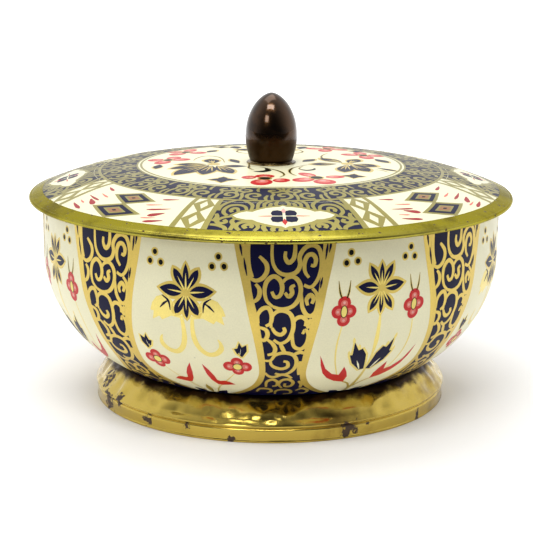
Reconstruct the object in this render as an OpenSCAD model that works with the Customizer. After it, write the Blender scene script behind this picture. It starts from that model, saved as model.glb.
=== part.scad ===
// Footed tin tea caddy with a lift-off lid and an acorn knob.
// The origin is the centre of the plane that the foot stands on. +Z is up and -Y is the front.
// All lengths are in millimetres.

/* [Bowl] */
// Outside diameter of the bowl's straight wall
bowl_d = 179.4; // [174:0.2:181]
// Height where the straight wall starts
bowl_wall_z = 60; // [52:1:66]
// Height of the bowl's flat bottom above the table
bowl_bottom_z = 9; // [8:0.5:11]
// Diameter of the bowl's flat bottom
bowl_flat_d = 66.8; // [60:0.2:72]
// Radius of the curl that turns inwards at the bowl's rim
bowl_curl_r = 0.95; // [0.8:0.05:1.1]

/* [Foot] */
// Outside diameter of the foot at its shoulder
foot_d = 140.3; // [136:0.1:143]
// Height where the foot meets the bowl
foot_h = 16; // [15:0.5:17]
// Diameter of the circle where the foot meets the bowl
foot_seat_d = 124; // [122:0.5:126]
// Width of the lip that is soldered to the bowl's underside
foot_lip_w = 6; // [4:0.5:8]
// Width of the hem that turns inwards where the foot stands
foot_hem_w = 2.5; // [1.5:0.5:4]
// Height of the pressed groove that runs round the foot
foot_groove_z = 5.4; // [5:0.1:5.8]
// Depth of the pressed groove
foot_groove_depth = 0.7; // [0.3:0.1:0.8]

/* [Lid] */
// Outside diameter of the lid over its rolled bead
lid_d = 190; // [188:0.5:194]
// Height of the lid's edge above the table
lid_edge_z = 81.3; // [78:0.1:86]
// Diameter where the sloping brim meets the domed centre
lid_centre_d = 136.6; // [130:0.2:142]
// Height that the brim climbs from the edge to the domed centre
brim_rise = 8.3; // [7:0.1:9]
// Height that the domed centre rises above the brim
dome_rise = 3; // [2:0.1:4]
// Radius of the rolled bead at the lid's edge
lid_bead_r = 0.95; // [0.8:0.05:1.1]
// Outside diameter of the collar that drops into the bowl
collar_d = 174.6; // [172:0.2:175]
// Height of the collar's lower edge above the table
collar_z = 74.5; // [70:0.5:77]
// Width of the collar's soldered flange
collar_flange_w = 5; // [3:0.5:7]

/* [Knob] */
// Largest diameter of the acorn
knob_d = 20.4; // [19:0.2:22]
// Diameter of the acorn's neck
knob_neck_d = 16.6; // [15:0.2:17]
// Height of the acorn above its seat
knob_h = 26.7; // [24:0.1:29]
// Diameter of the seat under the acorn
seat_d = 19.4; // [19:0.2:24]
// Height of the seat
seat_h = 1; // [0.8:0.1:2.5]
// Thickness of the acorn's wall
knob_wall = 0.6; // [0.4:0.1:0.8]

/* [Screw] */
// Shank diameter of the screw that holds the knob
screw_d = 4; // [3:0.5:5]
// Diameter of the screw's head
screw_head_d = 8; // [7:0.5:9]
// Height of the screw's head
screw_head_h = 2.2; // [1.8:0.1:2.6]
// Outside diameter of the washer under the head
washer_d = 12; // [10:0.5:14]
// Thickness of the washer
washer_t = 0.8; // [0.6:0.1:1.2]

/* [Sheet and gaps] */
// Thickness of the printed tin sheet
sheet_t = 0.4; // [0.3:0.05:0.5]
// Gap between the lid and the bowl's rim
rest_gap = 0.2; // [0.1:0.05:0.3]
// Thickness of a soldered or screwed joint
joint_gap = 0.02; // [0.01:0.01:0.04]

/* [Hidden] */

$fn = 180;
steps = 14; // segments in each long curved stretch of an outline
curl_steps = 10;
bead_steps = 12;
short_steps = 4; // segments in the lip, the flange and the head's rounding
cut_over = 1; // how far a cut runs past the face it opens

bowl_r = bowl_d / 2;
bowl_flat_r = bowl_flat_d / 2;
bowl_side = bowl_r - bowl_flat_r; // radial half-axis of the bowl's elliptical side
bowl_drop = bowl_wall_z - bowl_bottom_z; // vertical half-axis of the same ellipse

foot_r = foot_d / 2;
foot_seat_r = foot_seat_d / 2;
foot_ledge_w = 0.35; // how far the skirt stands inside the shoulder
foot_groove_under = 0.5; // height of the groove's slope under its deepest line
foot_groove_over = 0.6; // and over it
foot_shoulder_z = foot_groove_z + 1.1;
foot_fullness = 1.25; // an exponent of 1 is a cone, and 2 is an ellipse
foot_inset = 1.3 * sheet_t; // leaves the sloping shoulder about as thick as the sheet
foot_skirt_taper = 0.4; // how much narrower the skirt is at the table
foot_skirt_r = foot_r - foot_ledge_w - foot_skirt_taper; // where the skirt meets the table

lid_r = lid_d / 2;
lid_centre_r = lid_centre_d / 2;
brim_bend = 1.3; // how strongly the brim flattens towards the centre
dome_fullness = 3.8; // an exponent of 2 is a plain dome, and more has a flatter middle
lid_top_z = lid_edge_z + brim_rise + dome_rise;
collar_r = collar_d / 2;

seat_r = seat_d / 2;
seat_flange_h = 0.6;
seat_bevel_w = 0.3;
seat_bevel_h = 0.3;
seat_step_w = 0.5; // how much wider the seat's sloping step is than the acorn's neck
knob_r = knob_d / 2;
knob_neck_r = knob_neck_d / 2;
knob_z = lid_top_z + seat_h;
knob_waist_h = 9.9; // height of the acorn's widest point over its seat
knob_waist_z = knob_z + knob_waist_h;
knob_top_h = knob_h - knob_waist_h;
knob_base_curve = 1.9; // an exponent of 1 is a cone down to the neck, and more is rounder
knob_tip_curve = 0.58; // an exponent of 0.5 is half an ellipse, and more is more pointed
core_h = 6.5;
core_hole_depth = 5;
core_hole_spare = 0.5; // depth of the tapped hole past the screw's end
screw_r = screw_d / 2;
screw_slot_w = 1;
screw_slot_depth = 1;
screw_head_round = 1;
lid_hole_r = screw_r + 0.2; // a clearance hole

function backwards(list) = [for (i = [len(list) - 1 : -1 : 0]) list[i]];
function arc(mid, r, from, to, n) =
    [for (i = [0 : n]) mid + r * [cos(from + (to - from) * i / n), sin(from + (to - from) * i / n)]];

// Height of the bowl's outside at radius r, on its elliptical side
function bowl_out_z(r) =
    bowl_wall_z - bowl_drop * sqrt(1 - pow(max(0, r - bowl_flat_r) / bowl_side, 2));

// Half an outline of the bowl's side, with its wall pulled in by inset
function bowl_side_points(inset) =
    [for (i = [0 : steps]) let (a = -90 + 90 * i / steps)
        [bowl_flat_r + (bowl_side - inset) * cos(a), bowl_wall_z + (bowl_drop - inset) * sin(a)]];

// Height of the lid's upper face at radius r, from the edge to the knob's seat
function brim_z(r) =
    lid_edge_z + brim_rise * (1 - pow(1 - (lid_r - r) / (lid_r - lid_centre_r), brim_bend));
function dome_z(r) =
    lid_top_z - dome_rise * pow(max(0, r - seat_r) / (lid_centre_r - seat_r), dome_fullness);
function brim_slope(r) =
    atan(brim_rise * brim_bend / (lid_r - lid_centre_r)
        * pow(1 - (lid_r - r) / (lid_r - lid_centre_r), brim_bend - 1));

// The rolled bead meets the brim where both have the same slope
bead_mid_r = lid_r - lid_bead_r;
bead_tilt = brim_slope(bead_mid_r);
bead_join_r = bead_mid_r + lid_bead_r * sin(bead_tilt);
bead_mid_z = brim_z(bead_join_r) - lid_bead_r * cos(bead_tilt);

// The bowl's curl stands just clear of the brim's lower face
curl_mid_r = bowl_r - bowl_curl_r;
curl_mid_z = brim_z(curl_mid_r) - sheet_t
    - (bowl_curl_r + rest_gap) / cos(brim_slope(curl_mid_r));

function brim_points() =
    [for (i = [0 : steps]) let (r = lid_centre_r + (bead_join_r - lid_centre_r) * i / steps)
        [r, brim_z(r)]];
function dome_points() =
    [for (i = [0 : steps - 1]) let (r = seat_r + (lid_centre_r - seat_r) * i / steps)
        [r, dome_z(r)]];

// The foot's sloping shoulder, pulled in by inset
function foot_shoulder(inset) =
    [for (i = [0 : steps]) let (
        a = 90 * i / steps,
        w = foot_r - foot_seat_r - inset,
        h = foot_h - foot_shoulder_z - inset)
        [foot_seat_r + w * pow(cos(a), 2 / foot_fullness),
         foot_shoulder_z + h * pow(sin(a), 2 / foot_fullness)]];
// The skirt below the shoulder, from the table to the groove's upper edge
function foot_skirt(inset) = [
    [foot_skirt_r - inset, 0],
    [foot_r - foot_ledge_w - inset, foot_groove_z - foot_groove_under],
    [foot_r - foot_ledge_w - foot_groove_depth - inset, foot_groove_z],
    [foot_r - inset, foot_groove_z + foot_groove_over]];
// The lip that follows the bowl's underside, lowered by drop
function foot_lip(drop) =
    [for (i = [0 : short_steps]) let (r = foot_seat_r - foot_lip_w * i / short_steps)
        [r, bowl_out_z(r) - drop]];

// Radius of the acorn at height z, pulled in by inset
function acorn_r(z, inset) = z < knob_waist_z
    ? knob_r - inset
        - (knob_r - knob_neck_r) * pow((knob_waist_z - z) / knob_waist_h, knob_base_curve)
    : (knob_r - inset)
        * pow(1 - pow((z - knob_waist_z) / (knob_top_h - inset), 2), knob_tip_curve);
function acorn_points(inset) = concat(
    [for (i = [0 : 2 * short_steps]) let (z = knob_z + knob_waist_h * i / (2 * short_steps))
        [acorn_r(z, inset), z]],
    [for (i = [1 : steps - 1]) let (z = knob_waist_z + (knob_top_h - inset) * sin(90 * i / steps))
        [acorn_r(z, inset), z]],
    [[0, knob_waist_z + knob_top_h - inset]]);

// The bowl: one drawn sheet with a flat bottom and a curled rim
module bowl() {
    curl_end = 250;
    color("beige")
    rotate_extrude()
    polygon(concat(
        [[0, bowl_bottom_z]],
        bowl_side_points(0),
        arc([curl_mid_r, curl_mid_z], bowl_curl_r, 0, curl_end, curl_steps),
        arc([curl_mid_r, curl_mid_z], bowl_curl_r - sheet_t, curl_end, 0, curl_steps),
        backwards(bowl_side_points(sheet_t)),
        [[0, bowl_bottom_z + sheet_t]]));
}

// The foot: a pressed ring with a hem to stand on and a lip under the bowl
module foot_ring() {
    hem_r = foot_skirt_r - foot_hem_w;
    color("darkkhaki")
    rotate_extrude()
    polygon(concat(
        foot_skirt(0),
        foot_shoulder(0),
        foot_lip(joint_gap),
        backwards(foot_lip(joint_gap + sheet_t)),
        backwards(foot_shoulder(foot_inset)),
        [for (i = [3 : -1 : 1]) foot_skirt(sheet_t)[i]],
        [[foot_skirt_r - sheet_t, sheet_t], [hem_r, sheet_t], [hem_r, 0]]));
}

// The lid: one drawn sheet with a domed centre, a sloping brim and a rolled bead
module lid_shell() {
    bead_end = -200;
    upper = concat([[lid_hole_r, lid_top_z]], dome_points(), brim_points());
    lower = [for (p = backwards(upper)) p - [0, sheet_t]];
    color("cornsilk")
    rotate_extrude()
    polygon(concat(
        upper,
        arc([bead_mid_r, bead_mid_z], lid_bead_r, 90 - bead_tilt, bead_end, bead_steps),
        arc([bead_mid_r, bead_mid_z], lid_bead_r - sheet_t, bead_end, 90 - bead_tilt, bead_steps),
        lower));
}

// The collar: a soldered ring inside the lid that drops into the bowl and centres the lid
module lid_collar() {
    flange = [for (i = [0 : short_steps]) let (r = collar_r - collar_flange_w * i / short_steps)
        [r, brim_z(r) - sheet_t - joint_gap]];
    color("silver")
    rotate_extrude()
    polygon(concat(
        [[collar_r, collar_z]],
        flange,
        [for (i = [short_steps : -1 : 1]) flange[i] - [0, sheet_t]],
        [[collar_r - sheet_t, flange[0][1] - sheet_t], [collar_r - sheet_t, collar_z]]));
}

// The acorn: a thin spun shell, open at its neck
module knob_shell() {
    color("saddlebrown")
    rotate_extrude()
    polygon(concat(acorn_points(0), backwards(acorn_points(knob_wall))));
}

// The tapped slug that fills the acorn's neck and takes the screw
module knob_core() {
    color("peru")
    difference() {
        translate([0, 0, knob_z])
            cylinder(h = core_h, r = knob_neck_r - knob_wall - joint_gap);
        translate([0, 0, knob_z - cut_over])
            cylinder(h = core_hole_depth + cut_over, r = screw_r + joint_gap);
    }
}

// The seat: a flanged washer that the acorn stands on
module knob_seat() {
    color("sienna")
    rotate_extrude()
    polygon([
        [lid_hole_r, lid_top_z],
        [seat_r, lid_top_z],
        [seat_r, lid_top_z + seat_flange_h - seat_bevel_h],
        [seat_r - seat_bevel_w, lid_top_z + seat_flange_h],
        [knob_neck_r + seat_step_w, lid_top_z + seat_flange_h],
        [knob_neck_r, knob_z],
        [lid_hole_r, knob_z]]);
}

// The washer that spreads the screw's load under the lid
module screw_washer() {
    color("silver")
    translate([0, 0, lid_top_z - sheet_t - washer_t])
    difference() {
        cylinder(h = washer_t, r = washer_d / 2);
        translate([0, 0, -cut_over])
            cylinder(h = washer_t + 2 * cut_over, r = lid_hole_r);
    }
}

// The slotted screw that comes up through the lid and the seat into the slug
module lid_screw() {
    head_top = lid_top_z - sheet_t - washer_t;
    head_r = screw_head_d / 2;
    sink = 0.01; // how far the shank starts inside the head
    color("lightgray")
    difference() {
        union() {
            rotate_extrude()
            polygon(concat(
                [[0, head_top], [0, head_top - screw_head_h]],
                arc([head_r - screw_head_round, head_top - screw_head_h + screw_head_round],
                    screw_head_round, -90, 0, short_steps),
                [[head_r, head_top]]));
            translate([0, 0, head_top - sink])
                cylinder(h = knob_z + core_hole_depth - core_hole_spare - head_top, r = screw_r);
        }
        translate([-head_r - cut_over, -screw_slot_w / 2, head_top - screw_head_h - cut_over])
            cube([screw_head_d + 2 * cut_over, screw_slot_w, screw_slot_depth + cut_over]);
    }
}

bowl();
foot_ring();
lid_shell();
lid_collar();
knob_shell();
knob_core();
knob_seat();
lid_screw();
screw_washer();
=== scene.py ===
import math
from functools import partial
import bmesh
import bpy
from mathutils import Matrix, Vector, noise


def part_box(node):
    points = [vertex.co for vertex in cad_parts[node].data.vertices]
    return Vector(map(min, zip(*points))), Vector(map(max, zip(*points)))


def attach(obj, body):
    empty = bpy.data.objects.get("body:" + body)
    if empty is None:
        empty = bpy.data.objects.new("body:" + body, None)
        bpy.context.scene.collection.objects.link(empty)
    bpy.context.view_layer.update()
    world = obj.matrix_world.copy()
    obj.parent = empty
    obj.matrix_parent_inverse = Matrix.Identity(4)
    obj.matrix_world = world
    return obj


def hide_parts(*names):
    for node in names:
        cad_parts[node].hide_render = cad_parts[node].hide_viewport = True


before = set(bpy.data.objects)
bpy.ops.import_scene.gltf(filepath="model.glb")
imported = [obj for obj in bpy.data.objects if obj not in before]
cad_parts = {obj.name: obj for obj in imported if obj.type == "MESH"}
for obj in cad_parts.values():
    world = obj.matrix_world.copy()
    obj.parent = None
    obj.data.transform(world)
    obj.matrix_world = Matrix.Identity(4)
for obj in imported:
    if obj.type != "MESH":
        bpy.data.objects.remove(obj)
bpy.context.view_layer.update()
mm = 0.001

# The tin's outlines, in millimetres, partly read from model.glb

bowlLow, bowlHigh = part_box("bowl")
knobLow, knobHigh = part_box("knob_shell")
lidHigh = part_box("lid_shell")[1]
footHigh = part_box("foot_ring")[1]
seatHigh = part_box("knob_seat")[1]

tin = {
    "sheet": 0.4,  # thickness of the printed sheet
    "turns": 240,  # segments round each turned piece
    "inkLift": 0.02,  # height of the first ink over the sheet
    "inkStep": 0.016,  # and of each ink over the one below
    "inkGrid": 2.2,  # spacing of the cuts that let flat ink follow the curved sheet
}

bowl = {
    "radius": bowlHigh[0] / mm,
    "bottomZ": bowlLow[2] / mm,
    "rimZ": bowlHigh[2] / mm,
    "wallZ": 60,  # the straight wall starts here
    "flatRadius": 33.4,
    "curl": 0.95,
    "printTop": 82,  # height that the print is measured down from
    "printTurn": 52.5,  # run of print over one radian of the side's ellipse
}
bowl["side"] = bowl["radius"] - bowl["flatRadius"]
bowl["drop"] = bowl["wallZ"] - bowl["bottomZ"]

lid = {
    "radius": lidHigh[0] / mm,
    "topZ": lidHigh[2] / mm,
    "edgeZ": 81.3,
    "centreRadius": 68.3,  # where the brim meets the dome
    "brimRise": 8.3,
    "brimBend": 1.3,
    "domeRise": 3,
    "domeFullness": 3.8,
    "bead": 0.95,
    "borderRadius": 89.5,  # inner edge of the gold border
    "crease": ((0.75, 0.05), (0.5, 0.2), (0.25, 0.1), (0, 0)),  # inset from the bead and depth
    "hole": 2.2,
    "seatRadius": seatHigh[0] / mm,
}

foot = {
    "radius": footHigh[0] / mm,
    "height": 16,
    "seatRadius": 62,
    "lip": 6,
    "hem": 2.5,
    "shoulderZ": 6.5,
    "seatGap": 0.03,
    "bendInset": 0.52,
    "fullness": 1.25,
    "setBack": 0.35,  # how far the skirt stands inside the widest circle
    "lean": 0.4,  # and how much further in its bottom edge is
    "grooveZ": 5.4,
    "grooveHalf": 0.7,
    "groove": [(-0.12, -0.42), (-0.5, -0.15), (-0.7, 0), (-0.45, 0.2), (0.05, 0.42), (0.27, 0.7)],
    "dent": 0.8,  # depth of the shallow dents
    "dentSize": 5.5,
}

knob = {
    "radius": knobHigh[0] / mm,
    "neck": 8.3,
    "baseZ": knobLow[2] / mm,
    "topZ": knobHigh[2] / mm,
    "waist": 9.9,  # height of the widest point over the base
    "baseCurve": 1.9,
    "tipCurve": 0.58,
    "wall": 0.6,
    "seatFlange": 0.6,
    "seatBevel": 0.3,
}


def steps(start, stop, count):
    return [start + (stop - start) * i / count for i in range(count + 1)]


def arc(midR, midZ, radius, start, stop, count):
    return [(midR + radius * math.cos(math.radians(a)), midZ + radius * math.sin(math.radians(a)))
            for a in steps(start, stop, count)]


def brimZ(r):
    s = (lid["radius"] - r) / (lid["radius"] - lid["centreRadius"])
    return lid["edgeZ"] + lid["brimRise"] * (1 - max(0, 1 - s) ** lid["brimBend"])


def domeZ(r):
    s = max(0, r - lid["seatRadius"]) / (lid["centreRadius"] - lid["seatRadius"])
    return lid["topZ"] - lid["domeRise"] * s ** lid["domeFullness"]


def lidZ(r):
    return domeZ(r) if r < lid["centreRadius"] else brimZ(r)


def lidSlope(r):
    return (lidZ(r + 0.05) - lidZ(r - 0.05)) / 0.1


def onLid(x, y, lift):  # place and normal on the lid over plan position x, y
    r = max(math.hypot(x, y), 0.001)
    slope = lidSlope(r)
    normal = Vector((-x / r * slope, -y / r * slope, 1)).normalized()
    return (Vector((x, y, lidZ(r))) + normal * lift) * mm, normal


def bowlSide(drop):  # radius, height and normal of the bowl, drop down its print from the top
    wall = bowl["printTop"] - bowl["wallZ"]
    if drop < wall:
        return bowl["radius"], bowl["printTop"] - drop, (1, 0)
    u = (drop - wall) / bowl["printTurn"]
    r = bowl["flatRadius"] + bowl["side"] * math.cos(u)
    z = bowl["wallZ"] - bowl["drop"] * math.sin(u)
    return r, z, (math.cos(u) / bowl["side"], -math.sin(u) / bowl["drop"])


def onBowl(x, y, lift):  # place and normal on the bowl, x round the wall from the front and y up its print
    a = x / bowl["radius"]
    r, z, (outwards, upwards) = bowlSide(-y)
    normal = Vector((math.sin(a) * outwards, -math.cos(a) * outwards, upwards)).normalized()
    return (Vector((r * math.sin(a), -r * math.cos(a), z)) + normal * lift) * mm, normal


def degrees(a):  # degrees round the bowl to millimetres round its wall
    return math.radians(a) * bowl["radius"]


# Turned pieces

def turnedMesh(name, outline, materials, chooseSlot=None):
    mesh = bmesh.new()
    points = [mesh.verts.new((r * mm, 0, z * mm)) for r, z in outline]
    edges = [mesh.edges.new(pair) for pair in zip(points, points[1:] + points[:1])]
    bmesh.ops.spin(mesh, geom=points + edges, cent=(0, 0, 0), axis=(0, 0, 1), dvec=(0, 0, 0),
                   angle=2 * math.pi, steps=tin["turns"], use_merge=True, use_duplicate=False)
    bmesh.ops.remove_doubles(mesh, verts=mesh.verts, dist=1e-7)
    bmesh.ops.recalc_face_normals(mesh, faces=mesh.faces)
    for face in mesh.faces:
        face.smooth = True
        if chooseSlot:
            middle = face.calc_center_median() / mm
            face.material_index = chooseSlot(math.hypot(middle.x, middle.y), middle.z)
    return finishPiece(name, mesh, materials)


def finishPiece(name, mesh, materials, normals=None):
    data = bpy.data.meshes.new(name)
    mesh.to_mesh(data)
    mesh.free()
    for material in materials:
        data.materials.append(material)
    if normals:
        data.shade_smooth()
        data.normals_split_custom_set_from_vertices(normals)
    piece = bpy.data.objects.new(name, data)
    bpy.context.collection.objects.link(piece)
    return piece


# Node helpers

def newMaterial(name):
    material = bpy.data.materials.new(name)
    material.use_nodes = True
    return material, material.node_tree, material.node_tree.nodes["Principled BSDF"]


def feed(tree, node, inputs):  # links the sockets and sets the plain values
    for key, value in inputs.items():
        if isinstance(value, bpy.types.NodeSocket):
            tree.links.new(value, node.inputs[key])
        else:
            node.inputs[key].default_value = value


def addNode(tree, kind, inputs=None, **settings):
    node = tree.nodes.new(kind)
    for key, value in settings.items():
        setattr(node, key, value)
    feed(tree, node, inputs or {})
    return node


def objectPlace(tree):
    return addNode(tree, "ShaderNodeTexCoord").outputs["Object"]


def noiseOf(tree, place, scale, detail, roughness=0.5):
    inputs = {"Vector": place, "Scale": scale, "Detail": detail, "Roughness": roughness}
    return addNode(tree, "ShaderNodeTexNoise", inputs).outputs["Fac"]


def calc(tree, operation, *values):
    return addNode(tree, "ShaderNodeMath", dict(enumerate(values)), operation=operation).outputs[0]


def blend(tree, share, first, second):  # the first colour at share 0 and the second at share 1
    return addNode(tree, "ShaderNodeMix", {0: share, 6: first, 7: second}, data_type="RGBA").outputs[2]


def ramp(tree, value, low, high):  # 0 below low and 1 above high
    return addNode(tree, "ShaderNodeMapRange", {"Value": value, "From Min": low, "From Max": high},
                   interpolation_type="SMOOTHSTEP").outputs["Result"]


def colourOf(red, green, blue):  # from the usual 0 to 255 values
    shares = (c / 255 for c in (red, green, blue))
    return tuple(c / 12.92 if c <= 0.04 else ((c + 0.055) / 1.055) ** 2.4 for c in shares) + (1,)


def newGroup(name, inputs, outputs):
    group = bpy.data.node_groups.new(name, "ShaderNodeTree")
    for label, kind, value in inputs:
        socket = group.interface.new_socket(label, in_out="INPUT", socket_type=kind)
        socket.default_value = value
    for label, kind in outputs:
        group.interface.new_socket(label, in_out="OUTPUT", socket_type=kind)
    return group, group.nodes.new("NodeGroupInput"), group.nodes.new("NodeGroupOutput")


# Flat shapes for the print, drawn in millimetres with y up

def curved(points, perSpan=5):  # a smooth path through given points
    last = len(points) - 1
    path = []
    for i in range(last):
        near = [points[min(max(i + k, 0), last)] for k in (-1, 0, 1, 2)]
        for s in range(perSpan):
            t = s / perSpan
            path.append(tuple(0.5 * (2 * b + (c - a) * t + (2 * a - 5 * b + 4 * c - d) * t ** 2
                                     + (3 * b - a - 3 * c + d) * t ** 3) for a, b, c, d in zip(*near)))
    return path + [points[-1]]


def leaf(length, width, belly=1, point=1):  # from its stalk at the origin, up to its tip
    side = [(width / 2 * abs(math.sin(math.pi * t ** belly)) ** point, length * t)
            for t in steps(0, 1, 10)]
    return side + [(-x, y) for x, y in side[-2:0:-1]]


def oval(halfWidth, halfHeight):
    turns = [math.radians(a) for a in range(0, 360, 20)]
    return [(halfWidth * math.cos(a), halfHeight * math.sin(a)) for a in turns]


def scroll(halfWidth, halfHeight, start, sweep, inner):  # a spiral, from outside in
    count = max(8, int(abs(sweep) / 18))
    path = []
    for t in steps(0, 1, count):
        a = math.radians(start + sweep * t)
        reach = 1 - (1 - inner) * t
        path.append((halfWidth * reach * math.sin(a), halfHeight * reach * math.cos(a)))
    return path


def placed(shape, x=0, y=0, turn=0, grow=1, flip=1):  # turned clockwise, then moved
    c, s = math.cos(math.radians(turn)), math.sin(math.radians(turn))
    return [(x + flip * grow * (px * c + py * s), y + grow * (py * c - px * s)) for px, py in shape]


def liftOf(layer):
    return tin["inkLift"] + tin["inkStep"] * layer


def chain(ink, points, layer, closed):
    verts = [ink.verts.new((x, y, liftOf(layer))) for x, y in points]
    return [ink.edges.new((verts[i - 1], verts[i])) for i in range(0 if closed else 1, len(verts))]


def fill(ink, outline, layer):
    bmesh.ops.triangle_fill(ink, use_beauty=True, edges=chain(ink, outline, layer, True))


def stroke(ink, path, widths, layer, closed=False):  # widths are spread evenly along the path
    rails = [], []
    count = len(path)
    for i, (x, y) in enumerate(path):
        before = path[i - 1] if closed or i else path[0]
        after = path[(i + 1) % count] if closed else path[min(i + 1, count - 1)]
        along = Vector((after[0] - before[0], after[1] - before[1])).normalized()
        place = i / (count - 1) * (len(widths) - 1)
        k = min(int(place), len(widths) - 1)
        following = widths[min(k + 1, len(widths) - 1)]
        half = (widths[k] + (following - widths[k]) * (place - k)) / 2
        rails[0].append((x - along.y * half, y + along.x * half))
        rails[1].append((x + along.y * half, y - along.x * half))
    edges = chain(ink, rails[0], layer, closed) + chain(ink, rails[1], layer, closed)
    bmesh.ops.bridge_loops(ink, edges=edges)


def cutOnGrid(ink, pitch):  # so that flat ink can follow the curved sheet
    for axis in (0, 1):
        across = [v.co[axis] for v in ink.verts]
        direction = Vector((axis == 0, axis == 1, 0))
        for k in range(math.ceil(min(across) / pitch), math.floor(max(across) / pitch) + 1):
            bmesh.ops.bisect_plane(ink, geom=ink.verts[:] + ink.edges[:] + ink.faces[:], dist=1e-5,
                                   plane_co=direction * pitch * k, plane_no=direction)


def inkPiece(name, ink, place, material, body, moves=()):
    cutOnGrid(ink, tin["inkGrid"])
    flat = ink.verts[:] + ink.edges[:] + ink.faces[:]
    for move in moves:
        copy = bmesh.ops.duplicate(ink, geom=flat)["geom"]
        corners = [part for part in copy if isinstance(part, bmesh.types.BMVert)]
        bmesh.ops.transform(ink, matrix=move, verts=corners)
    normals = []
    ink.verts.index_update()
    for vert in ink.verts:
        vert.co, normal = place(*vert.co)
        normals.append(normal)
    ink.normal_update()
    turned = [face for face in ink.faces if face.normal.dot(normals[face.verts[0].index]) < 0]
    bmesh.ops.reverse_faces(ink, faces=turned)
    piece = finishPiece(name, ink, [material], normals)
    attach(piece, body)
    return piece


# Materials

def sheetGroup():  # grain, mottling, specks and orange peel of varnished print
    group, given, result = newGroup("printGrain", [
        ("Ink", "NodeSocketColor", (1, 1, 1, 1)),
        ("Mottle", "NodeSocketFloat", 0.06),
        ("Specks", "NodeSocketFloat", 0.5),
        ("Roughness", "NodeSocketFloat", 0.3),
    ], [("Color", "NodeSocketColor"), ("Roughness", "NodeSocketFloat"), ("Height", "NodeSocketFloat")])
    place = objectPlace(group)
    cloud = noiseOf(group, place, 45, 3)
    dirt = addNode(group, "ShaderNodeTexVoronoi", {"Vector": place, "Scale": 130, "Randomness": 1})
    dots = ramp(group, dirt.outputs["Distance"], 0.075, 0.04)
    speck = calc(group, "MULTIPLY", dots, ramp(group, noiseOf(group, place, 60, 1), 0.6, 0.66))
    speck = calc(group, "MULTIPLY", speck, given.outputs["Specks"])
    both = calc(group, "ADD", cloud, noiseOf(group, place, 1800, 2))
    spread = {"Value": both, "From Min": 0.6, "From Max": 1.4, "To Min": -1, "To Max": 1}
    shade = addNode(group, "ShaderNodeMapRange", spread).outputs["Result"]
    shade = calc(group, "MULTIPLY_ADD", shade, given.outputs["Mottle"], 1)
    toned = addNode(group, "ShaderNodeVectorMath", {0: given.outputs["Ink"], 3: shade},
                    operation="SCALE").outputs[0]
    feed(group, result, {
        "Color": blend(group, speck, toned, colourOf(62, 44, 24)),
        "Roughness": calc(group, "MULTIPLY_ADD", cloud, 0.12, given.outputs["Roughness"]),
        "Height": noiseOf(group, place, 260, 2),
    })
    return group


printGrain = sheetGroup()


def inkMaterial(name, ink, roughness=0.3, metallic=0, mottle=0.06, gloss=1):
    material, tree, shader = newMaterial(name)
    inputs = {"Ink": ink, "Mottle": mottle, "Specks": 0.4, "Roughness": roughness}
    grain = addNode(tree, "ShaderNodeGroup", inputs, node_tree=printGrain).outputs
    peel = addNode(tree, "ShaderNodeBump", {"Height": grain["Height"], "Distance": 0.000012, "Strength": 1})
    feed(tree, shader, {
        "Base Color": grain["Color"],
        "Roughness": grain["Roughness"],
        "Normal": peel.outputs["Normal"],
        "Metallic": metallic,
        "Specular IOR Level": 0.22 * gloss,
        "Coat Weight": 0.14 * gloss,
        "Coat Roughness": 0.09,
    })
    return material


inkColours = {
    "cream": colourOf(241, 236, 199),
    "gold": colourOf(218, 190, 94),
    "navy": colourOf(13, 14, 50),
    "red": colourOf(200, 26, 26),
    "deepRed": colourOf(160, 18, 24),
    "rose": colourOf(222, 112, 98),
    "blush": colourOf(232, 170, 160),
    "black": colourOf(18, 16, 14),
    "ochre": colourOf(158, 112, 68),
    "leafGold": colourOf(220, 194, 98),
    "paleGold": colourOf(238, 218, 126),
    "lidGold": colourOf(158, 148, 74),
    "yolk": colourOf(244, 222, 120),
}
inkLooks = {}
for name, colour in inkColours.items():
    if name.lower().endswith("gold"):
        inkLooks[name] = inkMaterial(name + "Print", colour, roughness=0.28, metallic=0.6, mottle=0.1)
    else:
        inkLooks[name] = inkMaterial(name + "Ink", colour, gloss=0.4 if name in ("navy", "black") else 1)


def specksAt(tree, place, size, share):  # scattered chips, 1 inside a chip
    cells = {"Vector": place, "Scale": 1 / size, "Randomness": 1}
    near = addNode(tree, "ShaderNodeTexVoronoi", cells).outputs
    lump = calc(tree, "MULTIPLY_ADD", noiseOf(tree, place, 3 / size, 3), 0.5, near["Distance"])
    few = addNode(tree, "ShaderNodeSeparateColor", {"Color": near["Color"]}).outputs["Red"]
    return calc(tree, "MULTIPLY", ramp(tree, lump, 0.44, 0.38), ramp(tree, few, share + 0.02, share))


def wornSpots(tree, place, spots):  # ragged patches round given places, 1 inside a patch
    ragged = noiseOf(tree, place, 420, 4, 0.65)
    worn = 0
    for spot, reach in spots:
        ends = {0: place, 1: Vector(spot) * mm}
        away = addNode(tree, "ShaderNodeVectorMath", ends, operation="DISTANCE").outputs["Value"]
        edge = calc(tree, "MULTIPLY_ADD", away, 0.3 / (reach * mm), ragged)
        worn = calc(tree, "MAXIMUM", worn, ramp(tree, edge, 0.74, 0.7))
    return worn


def paintedShadeNearSeam(tree, place, low, high):  # painted shade near a seam, from the low height to the high one
    height = addNode(tree, "ShaderNodeSeparateXYZ", {0: place}).outputs["Z"]
    edge = calc(tree, "MULTIPLY_ADD", noiseOf(tree, place, 160, 4), 6 * mm, height)
    return ramp(tree, edge, (low + 3) * mm, (high + 3) * mm)


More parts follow.
